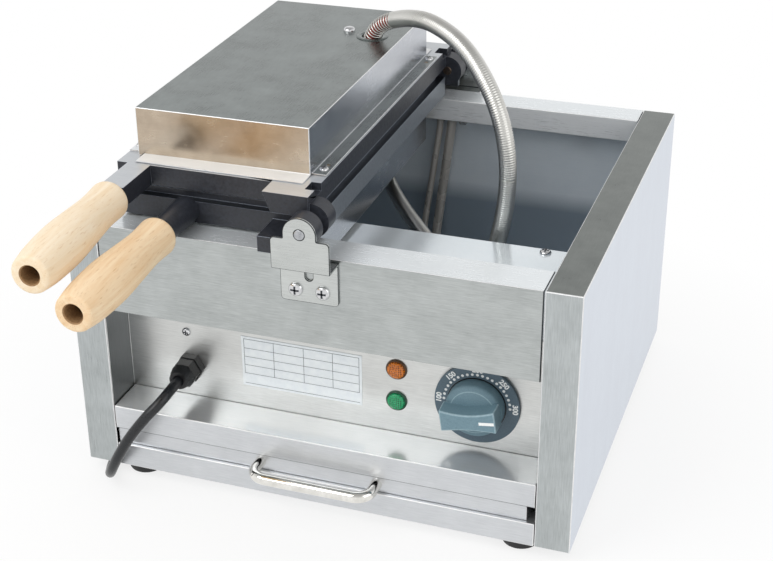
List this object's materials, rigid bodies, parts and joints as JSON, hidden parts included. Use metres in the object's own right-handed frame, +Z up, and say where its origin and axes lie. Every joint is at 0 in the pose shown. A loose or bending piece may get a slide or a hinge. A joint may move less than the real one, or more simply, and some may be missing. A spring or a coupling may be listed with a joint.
{
  "type": "waffle cone maker",
  "caption": "Countertop cone baker: hinged pair of cast plates with wooden handles that flips over a steel cabinet with a dial, pilot lamps and a crumb tray.",
  "frame": {"origin": "on the surface under the feet, below the middle of the box around the machine without its mains lead", "axes": "+X to the right seen from the control side, +Y backwards, +Z up"},
  "size_m": [0.4, 0.6188, 0.3441],
  "materials": {
    "brushed_stainless": "brushed sheet",
    "coated_aluminium": "black coated casting",
    "beech_wood": "turned and sanded",
    "black_rubber": "matte",
    "black_plastic": "moulded",
    "white_plastic": "satin",
    "grey_plastic": "satin moulded",
    "amber_lens": "faceted lens",
    "green_lens": "faceted lens",
    "polished_nickel": "polished",
    "plated_steel": "plated",
    "conduit_steel": "wound strip",
    "heater_steel": "heat darkened",
    "mineral_wool": "fibrous",
    "brass": "turned"
  },
  "bodies": {
    "cabinet": {"left_side_panel": "brushed_stainless", "right_side_panel": "brushed_stainless", "front_fascia": "brushed_stainless", "control_panel": "brushed_stainless", "shelf": "brushed_stainless", "base_pan": "brushed_stainless", "back_panel": "brushed_stainless", "compartment_cover": "brushed_stainless", "compartment_floor": "brushed_stainless", "left_drawer_runner": "brushed_stainless", "right_drawer_runner": "brushed_stainless", "rubber_feet": "black_rubber", "foot_screws": "plated_steel", "front_hinge_bracket": "brushed_stainless", "rear_hinge_bracket": "brushed_stainless", "front_hinge_pin": "plated_steel", "rear_hinge_pin": "plated_steel", "bracket_screws": "plated_steel", "bracket_nuts": "plated_steel", "dial_bezel": "grey_plastic", "thermostat": "plated_steel", "thermostat_screws": "plated_steel", "amber_lamp": "amber_lens", "green_lamp": "green_lens", "lamp_holders": "black_plastic", "cable_gland": "black_plastic", "gland_nut": "black_plastic", "gland_locknut": "black_plastic", "terminal_block": "white_plastic", "panel_screws": "plated_steel", "rating_plate": "white_plastic", "conduit_connectors": "plated_steel", "rear_tubes": "conduit_steel", "upper_conduit": "conduit_steel", "lower_conduit": "conduit_steel", "power_cord": "black_rubber", "cord_coil": "black_rubber", "cord_tie": "black_plastic", "plug_body": "black_plastic", "plug_pins": "brass"},
    "lower_half": {"lower_plate": "coated_aluminium", "lower_cover": "brushed_stainless", "lower_heater": "heater_steel", "lower_insulation": "mineral_wool", "lower_cover_screws": "plated_steel", "lower_handle": "beech_wood", "lower_handle_rod": "plated_steel", "lower_handle_collar": "plated_steel"},
    "upper_half": {"upper_plate": "coated_aluminium", "upper_cover": "brushed_stainless", "upper_heater": "heater_steel", "upper_insulation": "mineral_wool", "upper_cover_screws": "plated_steel", "upper_handle": "beech_wood", "upper_handle_rod": "plated_steel", "upper_handle_collar": "plated_steel"},
    "tray": {"crumb_tray": "brushed_stainless", "tray_handle": "polished_nickel", "tray_handle_screws": "plated_steel"},
    "dial": {"dial_knob": "grey_plastic", "thermostat_shaft": "plated_steel"}
  },
  "joints": [
    {"name": "book_flip", "type": "hinge", "parent": "cabinet", "child": "lower_half", "pos_m": [0, 0, 0.25], "axis": [0, 1, 0], "range_deg": [0, 180], "deforming": ["lower_conduit", "upper_conduit"]},
    {"name": "upper_open", "type": "hinge", "parent": "lower_half", "child": "upper_half", "pos_m": [0, 0, 0.25], "axis": [0, 1, 0], "range_deg": [0, 180], "deforming": ["upper_conduit"]},
    {"name": "drawer_slide", "type": "slide", "parent": "cabinet", "child": "tray", "axis": [0, -1, 0], "range_m": [0, 0.25], "deforming": ["power_cord"]},
    {"name": "dial_turn", "type": "hinge", "parent": "cabinet", "child": "dial", "pos_m": [0.1175, -0.0803, 0.104], "axis": [0, -1, 0], "range_deg": [-6, 214]}
  ]
}
